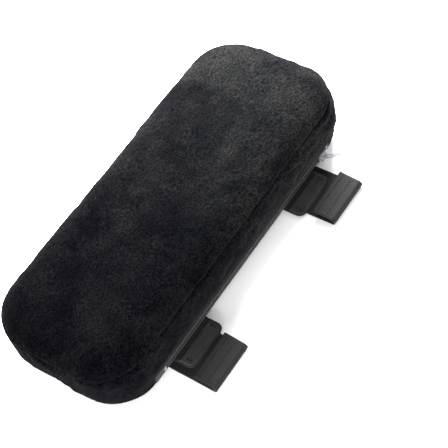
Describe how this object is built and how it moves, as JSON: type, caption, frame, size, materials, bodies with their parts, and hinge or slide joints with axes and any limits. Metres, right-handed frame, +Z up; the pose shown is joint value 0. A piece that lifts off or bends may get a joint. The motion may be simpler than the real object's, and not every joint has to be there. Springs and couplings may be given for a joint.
{
  "type": "chair armrest pad",
  "caption": "Soft foam armrest pad in a zipped black velour cover, with hook-and-loop straps on its underside that go round a chair's arm.",
  "frame": {"origin": "centre of the grip patch's lower face, on which the pad rests", "axes": "+X along the pad towards the closed zip slider; -Y to the side with the zip and the loop tabs; +Z up through the crown"},
  "size_m": [0.254, 0.1372, 0.05],
  "materials": {
    "velour": "short-pile black velour with a soft nap",
    "foam": "memory foam",
    "seam_thread": "black polyester sewing thread",
    "grip": "anti-slip fabric with raised rubber dots",
    "zip_tape": "woven zip tape",
    "zip_coil": "nylon coil",
    "zip_metal": "bright nickel-plated die casting",
    "strap_thread": "grey polyester sewing thread",
    "hook": "moulded nylon hooks",
    "loop_pile": "brushed nylon loop pile",
    "webbing": "woven elastic webbing",
    "tab_fabric": "woven nylon tape"
  },
  "bodies": {
    "root": {"foam_core": "foam", "cover_top_panel": "velour", "cover_side_band": "velour", "cover_bottom_panel": "velour", "top_seam_stitching": "seam_thread", "bottom_seam_stitching": "seam_thread", "grip_patch": "grip", "zip_tape_upper": "zip_tape", "zip_tape_lower": "zip_tape", "zip_teeth_upper": "zip_coil", "zip_teeth_lower": "zip_coil", "zip_top_stops": "zip_metal", "zip_bottom_stop": "zip_metal", "strap_left_bar_tack": "strap_thread", "strap_right_bar_tack": "strap_thread", "tab_left_bar_tack": "strap_thread", "tab_right_bar_tack": "strap_thread"},
    "slider": {"zip_slider": "zip_metal"},
    "pull": {"zip_pull_tab": "zip_metal"},
    "strap_left": {"strap_left_run": "webbing", "strap_left_fold": "webbing"},
    "strap_left_return": {"strap_left_end": "webbing", "strap_left_hook_patch": "hook", "strap_left_stitching": "strap_thread"},
    "tab_left": {"tab_left": "tab_fabric", "tab_left_loop_patch": "loop_pile", "tab_left_stitching": "strap_thread"},
    "strap_right": {"strap_right_run": "webbing", "strap_right_fold": "webbing"},
    "strap_right_return": {"strap_right_end": "webbing", "strap_right_hook_patch": "hook", "strap_right_stitching": "strap_thread"},
    "tab_right": {"tab_right": "tab_fabric", "tab_right_loop_patch": "loop_pile", "tab_right_stitching": "strap_thread"}
  },
  "joints": [
    {"name": "zip_slide", "type": "slide", "parent": "root", "child": "slider", "axis": [-1, 0, 0], "range_m": [0, 0.1685], "deforming": ["zip_teeth_upper", "zip_teeth_lower"]},
    {"name": "zip_pull_flip", "type": "hinge", "parent": "slider", "child": "pull", "pos_m": [0.0875, -0.05335, 0.00821], "axis": [0, -0.2425, 0.9701], "range_deg": [-133, 43]},
    {"name": "strap_left_swing", "type": "hinge", "parent": "root", "child": "strap_left", "pos_m": [-0.066, 0.046, 0.0013], "axis": [1, 0, 0], "range_deg": [0, 170]},
    {"name": "strap_left_unfold", "type": "hinge", "parent": "strap_left", "child": "strap_left_return", "pos_m": [-0.066, -0.082, 0.0029], "axis": [1, 0, 0], "range_deg": [0, 165], "deforming": ["strap_left_fold"]},
    {"name": "tab_left_drop", "type": "hinge", "parent": "root", "child": "tab_left", "pos_m": [-0.061, -0.044, 0.0021], "axis": [1, 0, 0], "range_deg": [0, 102]},
    {"name": "strap_right_swing", "type": "hinge", "parent": "root", "child": "strap_right", "pos_m": [0.066, 0.046, 0.0013], "axis": [1, 0, 0], "range_deg": [0, 170]},
    {"name": "strap_right_unfold", "type": "hinge", "parent": "strap_right", "child": "strap_right_return", "pos_m": [0.066, -0.082, 0.0029], "axis": [1, 0, 0], "range_deg": [0, 165], "deforming": ["strap_right_fold"]},
    {"name": "tab_right_drop", "type": "hinge", "parent": "root", "child": "tab_right", "pos_m": [0.061, -0.044, 0.0021], "axis": [1, 0, 0], "range_deg": [0, 102]}
  ],
  "couplings": [
    {"joint": "tab_left_drop", "follows": "strap_left_swing", "ratio": 0.6},
    {"joint": "tab_right_drop", "follows": "strap_right_swing", "ratio": 0.6}
  ]
}
